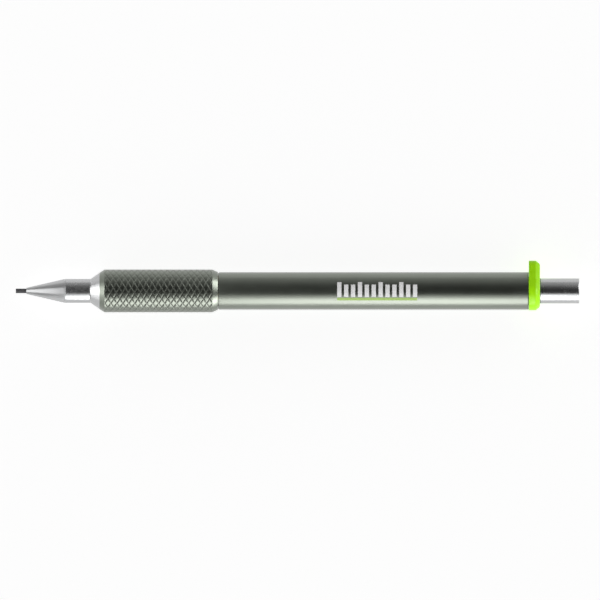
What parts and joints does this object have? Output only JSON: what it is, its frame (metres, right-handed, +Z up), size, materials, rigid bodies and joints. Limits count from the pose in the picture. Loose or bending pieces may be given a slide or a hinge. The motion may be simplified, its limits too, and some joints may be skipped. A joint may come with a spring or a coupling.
{
  "type": "lead holder",
  "caption": "Push-button clutch pencil with a knurled metal grip, a slim round barrel, a cone tip, a pull-off button and a coloured collar with a thumb tab.",
  "frame": {"origin": "on the plane the pencil lies on, under the middle of its box: half-way between the lead's point and the button's end, and half-way across from the grip's side to the thumb tab's top", "axes": "+X along the pencil from the lead's point to the push button; +Y level, the way the thumb tab points; +Z up, away from the plane it lies on"},
  "size_m": [0.1606, 0.0148, 0.0122],
  "materials": {
    "graphite": "dark grey graphite lead with a faint sheen",
    "satin_steel": "fine-turned bright metal",
    "gunmetal": "dark olive-grey anodised, satin",
    "green_plastic": "glossy lime green moulding",
    "brass": "plain turned brass",
    "spring_steel": "drawn wire",
    "black_plastic": "matt black moulding",
    "natural_plastic": "milky extruded tube",
    "rubber": "matt black rubber"
  },
  "bodies": {
    "holder": {"grip": "gunmetal", "joint_bush": "brass", "barrel": "gunmetal", "rear_bush": "black_plastic", "collar": "green_plastic", "clutch_sleeve": "brass", "return_spring": "spring_steel"},
    "plunger": {"collet_stem": "brass", "collet_connector": "brass", "lead_tube": "natural_plastic"},
    "jaw_1": {"clutch_jaw_1": "brass"},
    "jaw_2": {"clutch_jaw_2": "brass"},
    "jaw_3": {"clutch_jaw_3": "brass"},
    "ring": {"clutch_ring": "brass"},
    "lead": {"lead": "graphite"},
    "cap": {"push_button": "satin_steel", "button_liner": "black_plastic"},
    "nose": {"nose_body": "satin_steel", "tip_cone": "satin_steel", "lead_retainer": "rubber"}
  },
  "joints": [
    {"name": "button_press", "type": "slide", "parent": "holder", "child": "plunger", "axis": [-1, 0, 0], "range_m": [0, 0.0032], "stiffness_N_per_m": 800, "springref_m": -0.004, "deforming": ["return_spring"]},
    {"name": "ring_slide", "type": "slide", "parent": "holder", "child": "ring", "axis": [-1, 0, 0], "range_m": [0, 0.001]},
    {"name": "jaw_1_open", "type": "hinge", "parent": "plunger", "child": "jaw_1", "pos_m": [-0.0533, -0.00126, 0.00722], "axis": [0, 1, 0], "range_deg": [0, 1.35]},
    {"name": "jaw_2_open", "type": "hinge", "parent": "plunger", "child": "jaw_2", "pos_m": [-0.0533, -0.00221, 0.00557], "axis": [0, -0.5, 0.866], "range_deg": [0, 1.35]},
    {"name": "jaw_3_open", "type": "hinge", "parent": "plunger", "child": "jaw_3", "pos_m": [-0.0533, -0.00031, 0.00557], "axis": [0, -0.5, -0.866], "range_deg": [0, 1.35]},
    {"name": "lead_slide", "type": "slide", "parent": "ring", "child": "lead", "axis": [-1, 0, 0], "range_m": [-0.003, 0.006]},
    {"name": "cap_pull", "type": "slide", "parent": "plunger", "child": "cap", "axis": [1, 0, 0], "range_m": [0, 0.02]},
    {"name": "nose_unscrew", "type": "slide", "parent": "holder", "child": "nose", "axis": [-1, 0, 0], "range_m": [0, 0.034]}
  ],
  "couplings": [
    {"joint": "ring_slide", "follows": "button_press", "ratio": 0.3125},
    {"joint": "jaw_1_open", "follows": "button_press", "rad_per_m": 7.09},
    {"joint": "jaw_2_open", "follows": "button_press", "rad_per_m": 7.09},
    {"joint": "jaw_3_open", "follows": "button_press", "rad_per_m": 7.09}
  ]
}
